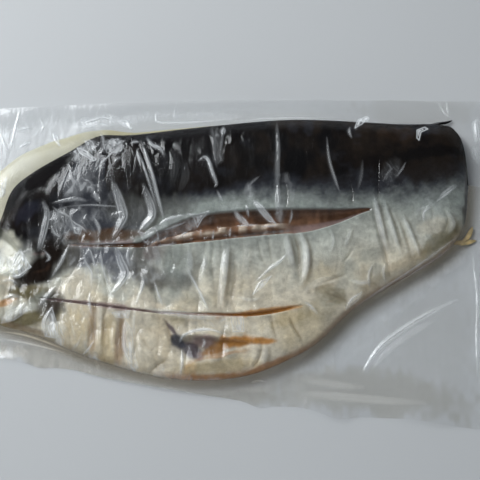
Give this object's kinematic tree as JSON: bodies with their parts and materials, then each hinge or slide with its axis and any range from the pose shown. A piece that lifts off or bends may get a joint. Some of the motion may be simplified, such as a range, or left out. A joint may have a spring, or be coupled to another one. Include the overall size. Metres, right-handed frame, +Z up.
{
  "type": "dried pangasius in a clear vacuum pouch",
  "caption": "Headless split dried catfish, dark back and pale belly, sealed flat in a wrinkled clear vacuum pouch with a wide loose margin.",
  "frame": {"origin": "middle of the pack's outline box, on the surface that it lies on", "axes": "+X from the head end to the tail end, +Y towards the fish's back, +Z up out of the side that shows"},
  "size_m": [0.402, 0.258, 0.0291],
  "materials": {
    "fish_skin": "moist smooth skin, black along the back, silver on the flank, cream on the belly",
    "cut_flesh": "dark red-brown dried flesh that shows in the cuts",
    "pale_flesh": "cream flesh and fat pressed against the film, along the shoulder and the back",
    "clear_film": "clear glossy film, tight and creased over the fish"
  },
  "bodies": {
    "root": {"dried_fish": "fish_skin", "pale_edge": "pale_flesh", "vacuum_pouch": "clear_film"}
  },
  "joints": []
}
